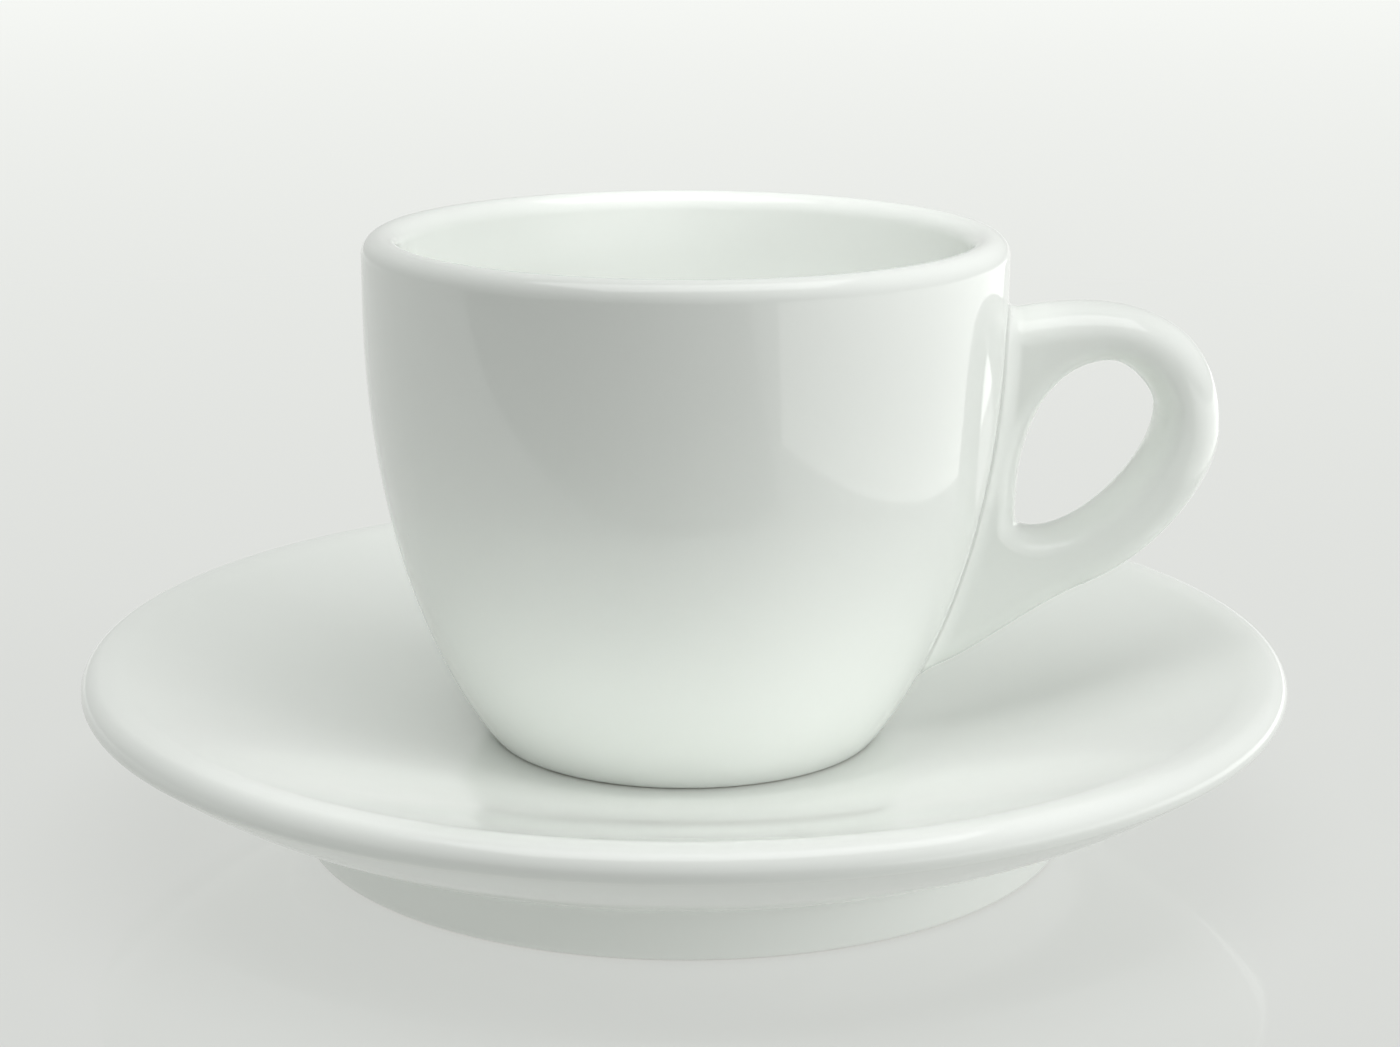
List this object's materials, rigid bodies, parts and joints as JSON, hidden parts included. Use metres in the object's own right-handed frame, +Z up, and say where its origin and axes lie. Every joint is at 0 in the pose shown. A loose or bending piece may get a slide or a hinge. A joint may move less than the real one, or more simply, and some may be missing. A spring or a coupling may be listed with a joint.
{
  "type": "espresso cup with saucer",
  "caption": "Small round porcelain cup with a rounded belly and a looped side handle, standing in the flat well of a wide dished saucer on a foot ring.",
  "frame": {"origin": "centre of the saucer's foot ring on the table", "axes": "+Z up along the axis of cup and saucer, +X towards the cup's handle, +Y across it"},
  "size_m": [0.12, 0.12, 0.0602],
  "materials": {
    "cup_glaze": "clear glossy glaze over white porcelain",
    "saucer_glaze": "clear glossy glaze over white porcelain"
  },
  "bodies": {
    "saucer": {"saucer": "saucer_glaze"},
    "cup": {"cup_bowl": "cup_glaze", "cup_handle": "cup_glaze"}
  },
  "joints": [
    {"name": "cup_lift", "type": "slide", "parent": "saucer", "child": "cup", "axis": [0, 0, 1], "range_m": [0, 0.08]}
  ]
}
